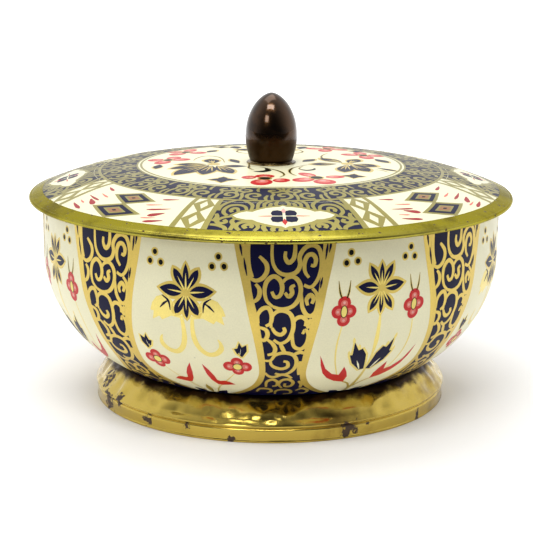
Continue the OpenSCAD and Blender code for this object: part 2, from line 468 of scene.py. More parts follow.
def metalMaterial(name, colour, dark, roughness, scale=60, patches=(0.55, 0.75), bump=0.00002, coat=0,
                  chips=None, spots=None, paintedShadeHeights=None, edge=(1, 1, 1, 1)):
    material, tree, shader = newMaterial(name)
    place = objectPlace(tree)
    fine = noiseOf(tree, place, scale * 14, 3)
    mixed = blend(tree, ramp(tree, noiseOf(tree, place, scale, 5, 0.6), *patches), colour, dark)
    rough = calc(tree, "MULTIPLY_ADD", fine, 0.16, roughness - 0.08)
    metal = 1
    # painted shade: darker, rougher and with less coat between the given heights
    if paintedShadeHeights:
        paintedShadeMask = paintedShadeNearSeam(tree, place, *paintedShadeHeights)
        mixed = blend(tree, paintedShadeMask, mixed, colourOf(50, 33, 16))
        rough = calc(tree, "MULTIPLY_ADD", paintedShadeMask, 0.24, rough)
        coat = calc(tree, "MULTIPLY_ADD", paintedShadeMask, -0.9 * coat, coat)
    worn = [specksAt(tree, place, *chips)] if chips else []
    worn += [wornSpots(tree, place, spots)] if spots else []
    if worn:
        bare = calc(tree, "MAXIMUM", worn[0], worn[-1])
        mixed = blend(tree, bare, mixed, blend(tree, fine, colourOf(30, 18, 8), colourOf(88, 60, 26)))
        rough = calc(tree, "MULTIPLY_ADD", bare, 0.45, rough)
        metal = calc(tree, "SUBTRACT", 1, bare)
    dented = addNode(tree, "ShaderNodeBump", {"Height": fine, "Distance": bump, "Strength": 1})
    feed(tree, shader, {
        "Base Color": mixed,
        "Roughness": rough,
        "Metallic": metal,
        "Normal": dented.outputs["Normal"],
        "Coat Weight": coat,
        "Coat Roughness": 0.05,
        "Specular Tint": edge,
    })
    return material


footWear = [  # worn patches on the foot, as place and reach
    ((-65.5, -24, 12), 5.5), ((-62, -31, 4), 4.5), ((-57.5, -38.5, 6.5), 3), ((-46, -52, 3), 2.6),
    ((-30.5, -62.5, 4), 1.8), ((-14.5, -68.2, 0.6), 2), ((29, -63.3, 3.5), 3.8), ((56.5, -41, 2.5), 2.4),
    ((60, -35.5, 11), 2.2), ((20, 66.5, 3), 4), ((-48, 50, 4), 3), ((66, 22, 2), 3.4),
]
goldLacquer = metalMaterial("goldLacquer", colourOf(164, 154, 60), colourOf(110, 100, 40), 0.24,
                            patches=(0.45, 0.68), coat=0.2, chips=(0.003, 0.6),
                            edge=colourOf(204, 196, 116))
# the darker band at the top of the foot, under the bowl, is painted shadow and painted reflection of the
# bowl's dark underside
footGold = metalMaterial("footGold", colourOf(200, 174, 80), colourOf(142, 114, 48), 0.16, scale=38,
                         patches=(0.5, 0.72), bump=0.00003, coat=0.2, chips=(0.004, 0.035), spots=footWear,
                         paintedShadeHeights=(12, 14.6))
# painted shade: the knob is darker, rougher and less glossy below the waist
agedBrass = metalMaterial("agedBrass", colourOf(74, 50, 28), colourOf(38, 24, 13), 0.2, scale=90,
                          patches=(0.4, 0.62), coat=0.6, paintedShadeHeights=(105, 100))
dullBrass = metalMaterial("dullBrass", colourOf(150, 128, 84), colourOf(70, 52, 32), 0.26, scale=200,
                          patches=(0.4, 0.6))
insideTin = metalMaterial("insideTin", colourOf(206, 190, 140), colourOf(170, 150, 100), 0.34)
plainBrass = metalMaterial("plainBrass", colourOf(204, 168, 96), colourOf(150, 112, 56), 0.28)
plainTin = metalMaterial("plainTin", colourOf(196, 194, 186), colourOf(140, 134, 122), 0.3)
plainSteel = metalMaterial("plainSteel", colourOf(188, 188, 184), colourOf(120, 112, 100), 0.28, scale=200)
print("materials made")


# The bowl

def bowlOutline():
    def side(inset):
        return [(bowl["flatRadius"] + (bowl["side"] - inset) * math.cos(a),
                 bowl["wallZ"] + (bowl["drop"] - inset) * math.sin(a))
                for a in map(math.radians, steps(-90, 0, 60))]

    midR, midZ = bowl["radius"] - bowl["curl"], bowl["rimZ"] - bowl["curl"]
    curl = arc(midR, midZ, bowl["curl"], 0, 250, 24)
    curl += arc(midR, midZ, bowl["curl"] - tin["sheet"], 250, 0, 24)
    wall = [(bowl["radius"], z) for z in steps(bowl["wallZ"], midZ, 8)[1:-1]]
    innerWall = [(bowl["radius"] - tin["sheet"], z) for z in steps(midZ, bowl["wallZ"], 8)[1:-1]]
    bottom = [(r, bowl["bottomZ"]) for r in (0, 8, 20)]
    innerBottom = [(r, bowl["bottomZ"] + tin["sheet"]) for r in (20, 8, 0)]
    return bottom + side(0) + wall + curl + innerWall + side(tin["sheet"])[::-1] + innerBottom


def bowlSlot(r, z):  # 0 is the cream outside, 1 the plain inside, 2 the gold rim
    if z > bowl["rimZ"] - 2.1:
        return 2
    if z > bowl["wallZ"]:
        return 0 if r > bowl["radius"] - tin["sheet"] / 2 else 1
    depth = ((r - bowl["flatRadius"]) / (bowl["side"] - 0.2)) ** 2 if r > bowl["flatRadius"] else 0
    depth += ((bowl["wallZ"] - z) / (bowl["drop"] - 0.2)) ** 2
    return 0 if depth > 1 else 1


bowlPiece = turnedMesh("bowl_shell", bowlOutline(), [inkLooks["cream"], insideTin, goldLacquer], bowlSlot)
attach(bowlPiece, "base")
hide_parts("bowl")
print("bowl turned")


# The foot

def footOutline():
    wide, low, power = foot["radius"], foot["shoulderZ"], 2 / foot["fullness"]

    def shoulder(inset):
        w, h = wide - foot["seatRadius"] - inset, foot["height"] - low - inset
        return [(foot["seatRadius"] + w * math.cos(a) ** power, low + h * math.sin(a) ** power)
                for a in map(math.radians, steps(0, 90, 36))]

    def skirt(inset):
        edge, groove = wide - foot["setBack"] - inset, foot["grooveZ"]
        bottom, rise = edge - foot["lean"], groove - foot["grooveHalf"]
        side = [(bottom + foot["lean"] * t, rise * t) for t in steps(0.15, 1, 6)]
        dip = [(edge + x, groove + z) for x, z in foot["groove"]]
        return [(bottom, 0), (bottom + 0.3, 0.25)] + side + dip

    def lip(drop):
        radii = steps(foot["seatRadius"], foot["seatRadius"] - foot["lip"], 6)
        across = [(r - bowl["flatRadius"]) / bowl["side"] for r in radii]
        return [(r, bowl["wallZ"] - bowl["drop"] * math.sqrt(1 - u ** 2) - drop) for r,
                u in zip(radii, across)]

    outer = skirt(0) + shoulder(0) + lip(foot["seatGap"])
    inner = lip(foot["seatGap"] + tin["sheet"])[::-1] + shoulder(foot["bendInset"])[::-1]
    inner += skirt(tin["sheet"])[:1:-1]
    hemOut = wide - foot["setBack"] - foot["lean"]
    hemIn = hemOut - foot["hem"]
    return outer + inner + [(hemOut - tin["sheet"], tin["sheet"]), (hemIn, tin["sheet"]), (hemIn, 0)]


def dentFoot(piece):  # ripples and shallow dents, only inwards, fading out at the groove and the seat
    for vert in piece.data.vertices:
        place = vert.co / mm
        r = math.hypot(place.x, place.y)
        if r < foot["seatRadius"] or place.z < 0.3:
            continue
        ring = Vector((place.x, place.y, 0)) / r * foot["radius"]
        wave = noise.noise(ring / foot["dentSize"] + Vector((0, 0, place.z / 6)))
        wave += 0.55 * noise.noise(ring / 3.2 + Vector((0, 0, place.z / 4)))
        fade = max(0, min(1, (place.z - foot["shoulderZ"]) / 2, (foot["height"] - place.z) / 2))
        fade += 0.12 if place.z > 1 else 0
        push = 1 - foot["dent"] * fade * (0.8 + wave) / r
        vert.co = Vector((place.x * push, place.y * push, place.z)) * mm


footPiece = turnedMesh("foot_shell", footOutline(), [footGold])
dentFoot(footPiece)
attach(footPiece, "base")
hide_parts("foot_ring")
print("foot turned")


# The lid

beadTilt = math.atan(-lidSlope(lid["radius"] - lid["bead"]))
beadR = lid["radius"] - lid["bead"]
beadJoin = beadR + lid["bead"] * math.sin(beadTilt)
beadZ = brimZ(beadJoin) - lid["bead"] * math.cos(beadTilt)


def lidOutline():
    radii = steps(lid["hole"], lid["centreRadius"], 40)
    radii += steps(lid["centreRadius"], lid["borderRadius"], 16)[1:]
    radii += steps(lid["borderRadius"], beadJoin - 1, 4)[1:]
    upper = [(r, lidZ(r)) for r in radii]
    upper += [(beadJoin - inset, lidZ(beadJoin - inset) - drop) for inset, drop in lid["crease"]]
    lower = [(r, z - tin["sheet"]) for r, z in upper[::-1]]
    top = 90 - math.degrees(beadTilt)
    bead = arc(beadR, beadZ, lid["bead"], top, -200, 28)[1:]
    return upper + bead + arc(beadR, beadZ, lid["bead"] - tin["sheet"], -200, top, 28)[:-1] + lower


def lidSlot(r, z):  # 0 is the cream top, 1 the plain inside, 2 the gold border and bead
    if r > beadJoin - 0.3:
        return 2
    if z < lidZ(r) - tin["sheet"] / 2:
        return 1
    return 2 if r > lid["borderRadius"] else 0


lidPiece = turnedMesh("lid_shell_print", lidOutline(), [inkLooks["cream"], insideTin, goldLacquer], lidSlot)
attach(lidPiece, "lid")
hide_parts("lid_shell")
print("lid turned")


# The knob and its seat

waistZ = knob["baseZ"] + knob["waist"]


def knobRadius(z, inset):
    under = waistZ - z
    if under > 0:
        narrowing = (knob["radius"] - knob["neck"]) * (under / knob["waist"]) ** knob["baseCurve"]
        return knob["radius"] - inset - narrowing
    tall = knob["topZ"] - waistZ - inset
    return (knob["radius"] - inset) * max(0, 1 - (under / tall) ** 2) ** knob["tipCurve"]


def knobSide(inset):
    tall = knob["topZ"] - waistZ - inset
    heights = steps(knob["baseZ"], waistZ, 20)
    heights += [waistZ + tall * math.sin(a) for a in steps(0, math.pi / 2, 44)[1:]]
    return [(knobRadius(z, inset), z) for z in heights[:-1]] + [(0, heights[-1])]


knobPiece = turnedMesh("knob_acorn", knobSide(0) + knobSide(knob["wall"])[::-1], [agedBrass])
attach(knobPiece, "lid")
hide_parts("knob_shell")


def seatOutline():
    low, high, bevel = lid["topZ"], lid["topZ"] + knob["seatFlange"], knob["seatBevel"]
    edge = arc(lid["seatRadius"] - bevel, high - bevel, bevel, -60, 90, 8)
    neck = [(0.45, high), (0.2, high + 0.12), (0.05, knob["baseZ"])]
    fillet = [(knob["neck"] + out, z) for out, z in neck] + [(lid["hole"], knob["baseZ"])]
    return [(lid["hole"], low), (lid["seatRadius"] - bevel, low)] + edge + fillet


seatPiece = turnedMesh("knob_seat_flange", seatOutline(), [dullBrass])
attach(seatPiece, "lid")
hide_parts("knob_seat")

fittings = {
    "lid_collar": plainTin,
    "knob_core": plainBrass,
    "lid_screw": plainSteel,
    "screw_washer": plainSteel,
}
for node, look in fittings.items():
    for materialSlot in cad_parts[node].material_slots:
        materialSlot.material = look
print("knob and fittings made")


# The bowl's print

def newInks(*names):
    return {name: bmesh.new() for name in names}


bowlInks = newInks("gold", "leafGold", "paleGold", "navy", "red", "rose", "blush", "black", "yolk", "cream")

bandEdge = [(1, 11.6), (10, 10.6), (20, 9.25), (30, 8.1), (40, 6.95), (52, 6.1), (58, 6.4), (64, 8),
            (69, 10.8),
            (73, 14), (77, 18)]  # drop and half width in degrees of a band's gold edge
bandGround = [(1, 8.4), (10, 8.1), (20, 7.4), (30, 6), (40, 5.1), (50, 4.5), (58, 4.7), (64, 6), (69, 8.6),
              (73, 11.6), (77, 15.6)]  # and of the navy ground inside it

bandScrolls = [  # gold lines, as degrees from the band's middle and drop
    [(-5.8, 7.4), (-5.1, 8.4), (-4.2, 10.2), (-4.1, 12.6), (-5, 15), (-6.6, 16), (-8.2, 14.6)],
    [(-8, 1.5), (-8.3, 6), (-8.1, 11), (-7.3, 14.8)],
    [(-2.9, 1.5), (-3, 7), (-2.6, 10.6), (-1.3, 13.2), (0.6, 13.9), (2.4, 12.9), (3.2, 10.4), (3.1, 7.4),
     (4.2, 4.6), (5.8, 3.5), (7.3, 4.8), (8, 8.5), (7.8, 12.8), (6.9, 16.4), (5.6, 18.4), (4.1, 17.6)],
    [(0, 5.6), (-0.1, 7.8), (0.7, 9.6), (1.8, 8), (2.1, 4.6), (2, 1.5)],
    [(5.2, 15), (4.3, 12.8), (4.2, 9.6), (4.9, 7.2), (6, 6.9), (6.7, 8.6), (6.4, 10.8), (5.6, 10.6)],
    [(-6.6, 17.2), (-5.8, 18.8), (-5.7, 20.8), (-6.2, 22.6), (-7.2, 23.8)],
    [(-2.7, 25.4), (-4.1, 23.2), (-4.6, 19.6), (-4.1, 16.2), (-2.6, 14.4), (-1.2, 15.8), (-0.7, 18.6),
     (-1.2, 21.2), (-2.3, 21.8), (-3, 19.8)],
    [(-0.8, 17), (0.2, 15.2), (1.7, 14.6), (3, 16.4), (3.4, 19.6), (2.8, 23), (1.4, 25.4), (-0.7, 26.2),
     (-2.7, 25.4)],
    [(2.1, 17.6), (1.3, 18.4), (1.5, 20.4), (0.7, 21.6), (-0.1, 20.2)],
    [(3.4, 19.6), (3.6, 22.6), (3.8, 25.6), (4.6, 28.2), (5.7, 29.1), (6.8, 27.6), (7.2, 24.4), (7, 21),
     (6, 18.9)],
    [(5, 25), (4.7, 22.8), (5.6, 21.2), (6.3, 22.6), (5.9, 24.4)],
    [(-6, 31.8), (-6.1, 28.6), (-5.1, 26.2), (-3.7, 25.9), (-3, 28.6), (-3.2, 31.6), (-4.3, 32.9)],
    [(-3.1, 33.6), (-3.1, 30), (-2, 27.4), (-0.4, 26.8), (1.2, 28.2), (1.9, 31.6), (1.7, 35.4), (0.7, 38.8),
     (-1, 40.2), (-2.5, 38.6)],
    [(-2.9, 33.6), (-2.1, 35.6), (-0.9, 36.4), (0, 35), (-0.3, 33.4)],
    [(1.9, 31.6), (2.6, 29.8), (3.8, 29.4), (4.8, 30.8), (4.6, 33)],
    [(5.9, 30.2), (5.2, 32.2), (5.4, 34)],
    [(4.1, 36.2), (4.7, 34.6), (5.5, 36.6), (5.2, 40.4), (4, 42.8), (2.5, 42), (1.9, 39.6), (1.7, 35.4)],
    [(-5.8, 33.4), (-4.3, 34.4), (-3.9, 36.6), (-4.6, 38.8), (-5.4, 38.4)],
    [(-3.9, 38.6), (-2.8, 40.2), (-2.1, 42.6), (-2.5, 44.8), (-3.9, 45.6)],
    [(-1, 40.2), (-0.4, 42.4), (0.2, 44.6)],
    [(-4.9, 48.4), (-3.2, 48.4), (-2, 45.6), (0.1, 44.6), (2.2, 45.6), (3.2, 48.6), (3, 52.4), (1.6, 55.6),
     (-0.2, 56.6), (-2, 55.8)],
    [(-3.2, 48.4), (-3, 50.6), (-2, 52.2), (-0.3, 53), (1.1, 51.8), (1, 49.4), (0, 48.8)],
    [(5, 45.2), (3.9, 44.4), (2.2, 45.6)],
    [(4.2, 49), (4.1, 53), (4.3, 57)],
    [(-4.6, 55.4), (-3.6, 57.6), (-2.2, 58.2), (-0.2, 56.6), (1.4, 57.4), (2.6, 59.2)],
    [(-4.4, 66), (-4.2, 61.8), (-2.6, 60), (-1.2, 61.8), (-1.4, 64.6), (-2.6, 65.4)],
    [(0.2, 67), (-0.8, 63.8), (0, 60.6), (1.8, 60), (3.2, 62.4), (2.6, 65.4), (1, 65.4), (1, 63)],
    [(5.6, 67), (5.6, 63.6), (4.6, 61.4)],
    [(-7.4, 71), (-6.2, 67.8), (-3.6, 68), (-2.8, 70.6), (-4.2, 72.4)],
    [(-1.6, 74), (-1.4, 70), (0.8, 68.6), (3, 70), (3.2, 73.4), (1, 74)],
    [(4.6, 70), (6.4, 68), (8.4, 70.4), (8, 73.4), (6, 73.4)],
]
bandSlits = [  # thin navy slits in the gold edge, as degrees from the middle and drop
    [(-10.2, 2), (-9.9, 4.6), (-9.6, 7.4)], [(-9.2, 8), (-8.9, 11), (-8.5, 14.4)],
    [(9.4, 2.4), (9.2, 5.4), (8.9, 8.8)], [(10.1, 1.6), (10, 4), (9.7, 6.4)],
    [(8.3, 15), (8, 17), (7.8, 19)],
]


def bandShape(edge):
    side = curved([(degrees(a), -drop) for drop, a in edge], perSpan=4)
    return side + [(-x, y) for x, y in side[::-1]]


def drawBand(middle):
    fill(bowlInks["gold"], placed(bandShape(bandEdge), degrees(middle)), 0)
    fill(bowlInks["navy"], placed(bandShape(bandGround), degrees(middle)), 1)
    scrolls, slits = ("gold", (1, 1.6, 1.6, 1.1)), ("navy", (0.2, 0.9, 0.2))
    for (ink, widths), lines in ((scrolls, bandScrolls), (slits, bandSlits)):
        for line in lines:
            stroke(bowlInks[ink], curved([(degrees(middle + a), -drop) for a, drop in line]), widths, 2)


def drawDots(x, y, spread):
    for dx, dy in spread:
        fill(bowlInks["leafGold"], placed(oval(1.45, 1.6), x + dx, y + dy), 0)
        fill(bowlInks["black"], placed(oval(0.88, 1), x + dx, y + dy), 1)


def drawBloom(x, y, petals, halo):  # navy petals with a gold edge and a pale slit
    for turn, length, width, belly, point in petals:
        edge = leaf(length + halo, width + 1.7 * halo, belly, point)
        fill(bowlInks["leafGold"], placed(edge, x, y, turn), 0)
        petalFoot = placed([(0, length * 0.13)], x, y, turn)[0]
        fill(bowlInks["navy"], placed(leaf(length * 0.88, width, belly, point), *petalFoot, turn), 1)
        slitFoot = placed([(0, length * 0.1)], x, y, turn)[0]
        fill(bowlInks["yolk"], placed(leaf(length * 0.6, 0.62, 0.6), *slitFoot, turn), 2)
    fill(bowlInks["leafGold"], placed(oval(1.3, 1.3), x, y), 3)


petalTones = ("red", 1, 0), ("rose", 0.52, -0.1), ("blush", 0.2, 0.05)  # size and shift


def drawRedFlower(x, y, reachX, reachY, petal, turn=0):  # four round petals round a yellow centre
    for k, reach in enumerate((reachY, reachX, reachY, reachX)):
        angle = turn + 90 * k
        for layer, (ink, size, shift) in enumerate(petalTones, 1):
            middle = placed([(0, reach + petal * shift)], x, y, angle)[0]
            fill(bowlInks[ink], placed(oval(petal * size, petal * size * 1.05), *middle), layer)
    fill(bowlInks["red"], placed(oval(reachX * 0.9, reachY * 0.9), x, y), 1)


def drawFlowerEye(x, y, halfWidth, halfHeight):
    fill(bowlInks["black"], placed(oval(halfWidth, halfHeight), x, y), 4)
    fill(bowlInks["yolk"], placed(oval(halfWidth - 0.32, halfHeight - 0.32), x, y), 5)


panelA = {
    "petals": [(0, 10.4, 2.3, 0.9, 0.8), (28, 9.6, 2.9, 1.2, 0.7), (-28, 9.6, 2.9, 1.2, 0.7),
               (84, 10.2, 4.4, 0.85, 0.9), (-84, 10.2, 4.4, 0.85, 0.9), (152, 9.2, 3.1, 1.3, 0.6),
               (-152, 9.2, 3.1, 1.3, 0.6), (180, 9.6, 2, 1.2, 0.7)],
    "goldLeaf": [(7.5, -22.5), (11.6, -24.2), (13.4, -26.6), (14.4, -29.6), (13, -29.8), (13.8, -33.2),
                 (10.9, -31.6), (9.9, -33), (6, -31), (2.5, -31.6), (1.6, -28), (4.6, -26)],
    "stem": [(2.1, -30.5), (1.7, -35.5), (2, -40), (3.4, -44), (6.2, -46.6), (9.4, -46.2), (11.7, -43.8),
             (11.8, -41.2), (10.9, -39.4)],
    "twigs": [[(9.3, -23.3), (6.8, -25.2), (6.2, -28.8)], [(6.6, -25), (8.6, -26.4), (10.3, -28.2)]],
    "bud": [(-1.9, 0.5), (-0.9, 0.7), (-0.25, 2.9), (0.5, 1.2), (1.9, 2.1), (1.9, -0.2), (0.4, -2.6),
            (-1.2, -1.2)],
    "redLeaf": [(2.6, -52), (4.7, -55.2), (6.3, -58.8), (6.9, -62), (8.2, -62.6), (10, -62.2),
                (12.4, -62.9), (14.6, -64.8), (11.7, -65.3), (8.4, -65.9), (6.3, -65.5), (4.3, -62.3),
                (3.1, -57.8)],
    "dots": [(11.9, -8), (9.6, -11.6), (13.9, -11.4)],
}


def drawPanelA(middle):
    x = degrees(middle)
    drawBloom(x, -21.7, panelA["petals"], 1.3)
    for flip in (-1, 1):
        side = partial(placed, x=x, flip=flip)
        fill(bowlInks["paleGold"], side(panelA["goldLeaf"]), 0)
        stroke(bowlInks["paleGold"], side(curved(panelA["stem"])), (1.2, 2.1, 2.2, 2.2, 0.4), 0)
        for twig in panelA["twigs"]:
            stroke(bowlInks["navy"], side(curved(twig)), (0.3, 0.9, 0.25), 2)
        drawRedFlower(x + flip * 17.2, -52.3, 3.3, 2.3, 2.5)
        drawFlowerEye(x + flip * 17.2, -52.4, 2, 1.9)
        bud = placed(panelA["bud"], x + flip * 19, -43.8, grow=1.25, flip=flip)
        stroke(bowlInks["paleGold"], bud, (1.7,), 0, closed=True)
        fill(bowlInks["navy"], bud, 1)
        stroke(bowlInks["leafGold"], side([(18.9, -47.5), (18.2, -45)]), (0.5, 0.3), 2)
        stroke(bowlInks["cream"], side([(18.7, -45.8), (19.2, -43.2)]), (0.2, 0.45, 0.1), 2)
        fill(bowlInks["red"], side(panelA["redLeaf"]), 1)
        stroke(bowlInks["paleGold"], side(curved([(15.6, -56.5), (9.6, -64), (5, -70), (2.4, -78)])),
               (0.35, 0.6, 1.1), 0)
        drawDots(x, 0, [(flip * dx, dy) for dx, dy in panelA["dots"]])
    fill(bowlInks["leafGold"], placed(leaf(9.5, 3), x, -76), 1)
    for flip in (-1, 1):
        fill(bowlInks["navy"], placed(leaf(10, 4.2), x + flip * 2, -79, flip * 42), 1)


panelB = {
    "petals": [(0, 9.2, 1.9, 1.1, 1), (28, 9.6, 2.4, 1.2, 1), (-28, 9.6, 2.4, 1.2, 1),
               (83, 9.2, 4, 0.9, 0.9), (-83, 9.2, 4, 0.9, 0.9), (180, 9.6, 1.7, 1.1, 1),
               (151, 9.2, 2.3, 1.3, 1), (-151, 9.2, 2.3, 1.3, 1)],
    "navyLeaf": [(-8.4, -41.3), (-6, -45.4), (-4.4, -44.7), (-2.2, -47.8), (-0.5, -56.2), (-2.6, -56.5),
                 (-7.2, -52), (-9.2, -47.6), (-8.1, -47.5)],
    "redLeaf": [(-21.2, -46.5), (-20.2, -52), (-18.5, -56.7), (-15.8, -60.2), (-11.7, -63), (-6.8, -64.5),
                (-6.5, -60.3), (-7.9, -56.9), (-9.9, -53.6), (-10.9, -58.6), (-14.2, -57.6),
                (-17.9, -53.9)],
    "dots": [(-12, -6.8), (-13.7, -10.4), (-9.5, -10)],
}


def drawPanelB(middle):
    x = degrees(middle)
    drawBloom(x, -20.4, panelB["petals"], 1.3)
    stroke(bowlInks["paleGold"], curved([(x, -29), (x + 0.2, -36), (x + 0.5, -45), (x + 0.5, -55),
                                         (x, -78)]),
           (0.5, 1.3, 1.9, 1, 1.3, 2.6), 0)
    for flip in (-1, 1):
        side = partial(placed, x=x, flip=flip)
        flowerX, flowerY = x - flip * 14.2, -28.1
        drawRedFlower(flowerX, flowerY, 2.2, 3.3, 2.45)
        drawFlowerEye(flowerX, flowerY, 1.35, 2.45)
        for lean in (-1, 1):
            whisker = [(flowerX + lean * 0.9, -23), (flowerX + lean * 1.7, -20.6),
                       (flowerX + lean * 2.2, -16.6)]
            stroke(bowlInks["leafGold"], curved(whisker), (0.9, 0.9, 0.2), 0)
            stroke(bowlInks["black"], curved(whisker), (0.5, 0.45, 0.05), 1)
        stroke(bowlInks["paleGold"], side(curved([(-14.6, -34), (-15.5, -42), (-14.6, -50.4),
                                                  (-11.7, -58.8)])),
               (0.4, 0.7, 0.6, 0.5), 0)
        stroke(bowlInks["paleGold"], side(panelB["navyLeaf"]), (1.8,), 0, closed=True)
        fill(bowlInks["navy"], side(panelB["navyLeaf"]), 1)
        stroke(bowlInks["cream"], side([(-5.3, -50.8), (-4, -53.2), (-2.6, -56)]), (0.1, 0.8, 0.35), 2)
        for tip in ((-8.9, -39.4), (-6.1, -42.6), (-9.8, -45.4)):
            fill(bowlInks["paleGold"], side(placed(leaf(3.4, 1.2), tip[0] + 0.5, tip[1] - 3, -12)), 0)
        fill(bowlInks["red"], side(panelB["redLeaf"]), 1)
        stroke(bowlInks["leafGold"], side(curved([(-6.8, -64.4), (-3.4, -66.6), (-0.6, -71)])),
               (0.8, 1, 1.2), 0)
        drawDots(x, 0, [(flip * dx, dy) for dx, dy in panelB["dots"]])
        fill(bowlInks["navy"], placed(leaf(10, 4.4), x + flip * 2.2, -79.5, flip * 48), 1)


firstBand = 3.2  # degrees from the front
drawBand(firstBand)
drawBand(firstBand + 45)
drawPanelA(firstBand - 22.5)
drawPanelB(firstBand + 22.5)
# a navy ring round the bottom of the bowl, over the foot: partly print, partly painted shadow where the
# bowl meets the foot
fill(bowlInks["navy"], [(degrees(a), -drop) for a, drop in [(t, 75.6) for t in steps(-45, 45, 30)]
                        + [(t, 80) for t in steps(45, -45, 30)]], 3)
quarters = [Matrix.Translation((degrees(90 * k), 0, 0)) for k in (1, 2, 3)]
for name, ink in bowlInks.items():
    inkPiece("bowl_print_" + name, ink, onBowl, inkLooks[name], "base", quarters)
print("bowl printed")


# The lid's print

brimMiddle = 80
brimEdges = 67.6, 89.7
ringMiddle = 60
ringEdges = 52.8, 67.2


# drawings whose x runs round the lid at the middle radius and whose y is minus the radius
def roundLid(middle):
    def place(x, y, lift):
        return onLid(-y * math.sin(x / middle), y * math.cos(x / middle), lift)
    return place


def onBrimPlan(points, flip=1, turn=0):  # from degrees and radius
    return [(math.radians(turn + flip * a) * brimMiddle, -r) for a, r in points]


def ringBand(ink, middle, low, high, start, stop, layer):
    outer = [(math.radians(a) * middle, -high) for a in steps(start, stop, 24)]
    fill(ink, outer + [(x, -low) for x, y in outer[::-1]], layer)


brimInks = newInks("lidGold", "navy", "red", "rose", "blush", "cream", "ochre", "deepRed")

cartouche = [(-12.9, 80.1), (-11.4, 78.2), (-9.7, 77), (-8.1, 77.3), (-7.4, 76.4), (-6.1, 75.3),
             (-4.6, 74.3), (-2.9, 73.6), (-1, 73.2), (0, 72.2)]
cartoucheUnder = [(0, 87.7), (-0.8, 86.7), (-2.7, 86.2), (-4.7, 85.1), (-6.7, 83.8), (-7.8, 82.6),
                  (-9.4, 82.6), (-11.7, 81.6)]
brimScrolls = [  # gold lines either side of the cartouche, as degrees from its middle and radius
    [(9.6, 77), (10.3, 73.6), (12.1, 72.1), (14.4, 72.7), (15.6, 75.4), (15.5, 78.4), (14.2, 80.4)],
    [(11.8, 77.3), (12.2, 75.2), (13.2, 74.9), (13.9, 76.4), (13.3, 77.8)],
    [(8.6, 76.2), (8.4, 72.6), (9.4, 69.9), (11.4, 67.6)],
    [(13.8, 67.6), (15.6, 69.9), (17, 73.4), (17.2, 77)],
    [(5, 74), (5.2, 71.2), (4.4, 69), (3, 67.6)],
    [(6.9, 75), (6.9, 71.2), (6.4, 68.8), (5.6, 67.6)],
    [(1.4, 72.8), (1.9, 70.4), (1.2, 67.6)],
    [(3.4, 73.4), (3.5, 71.4), (2.9, 70.2)],
    [(13.2, 80.8), (15.2, 82), (16.2, 84.2), (15.2, 85.6), (13.9, 84.6), (14.6, 83.2)],
    [(12, 82), (12.6, 84), (12, 86), (12.4, 89.4)],
    [(17.2, 79.4), (16.6, 81.6), (17.2, 84.4)],
    [(17.4, 86.6), (15.6, 86.8), (13.9, 88), (13.4, 89.6)],
    [(7, 89.6), (6.2, 87.2), (7, 84.9), (9, 84), (10.9, 85.2), (11.2, 87.6), (10.2, 89.4)],
    [(7.9, 87.8), (7.6, 86.4), (8.6, 85.7), (9.5, 86.8), (8.9, 88.2)],
    [(4.6, 85.6), (5, 87.4), (4.4, 89.6)],
    [(2.4, 86.8), (2.9, 88.4), (2.6, 89.6)],
    [(0.9, 87.6), (1.1, 89.6)],
]
cartoucheSquare = [(0.35, 76.5), (1.6, 75.8), (2.9, 76.2), (3.4, 78), (3, 79.7), (1.2, 79.8), (0.35, 79.7)]
redStrokes = [  # tapered drops on the pale panels, as degrees and radius of both ends and width
    ((-15.5, 71.2), (-11, 72.8), 0.9, "deepRed"), ((-12.8, 76.4), (-8.2, 77.8), 0.6, "rose"),
    ((-15.6, 79.4), (-9.4, 80.8), 0.7, "deepRed"), ((-12.8, 81.2), (-8.6, 83.8), 1.5, "deepRed"),
    ((-15.8, 86), (-10.6, 88), 1, "deepRed"), ((-15.4, 83.4), (-12.6, 84.4), 0.5, "rose"),
    ((14.4, 71), (9.4, 72.6), 0.9, "deepRed"), ((11.4, 76.4), (6.8, 77.9), 0.6, "rose"),
    ((15, 78.6), (8.6, 80.9), 0.8, "deepRed"), ((14.6, 81.8), (10.6, 84.6), 1.5, "deepRed"),
    ((13.4, 85.4), (9.6, 86.4), 0.5, "rose"), ((15.8, 86.6), (11, 88.4), 1, "deepRed"),
]
panelDiamonds = [(74.7, 7.4, 4.7), (84.4, 7.7, 4.8)]  # radius, half width in degrees and half height
diamondRings = [("lidGold", 1.12), ("navy", 0.86), ("lidGold", 0.52), ("ochre", 0.37), ("navy", 0.12)]


def diamond(middle, r, halfAngle, halfHeight):
    return onBrimPlan([(-halfAngle, r), (0, r + halfHeight), (halfAngle, r), (0, r - halfHeight)],
                      turn=middle)


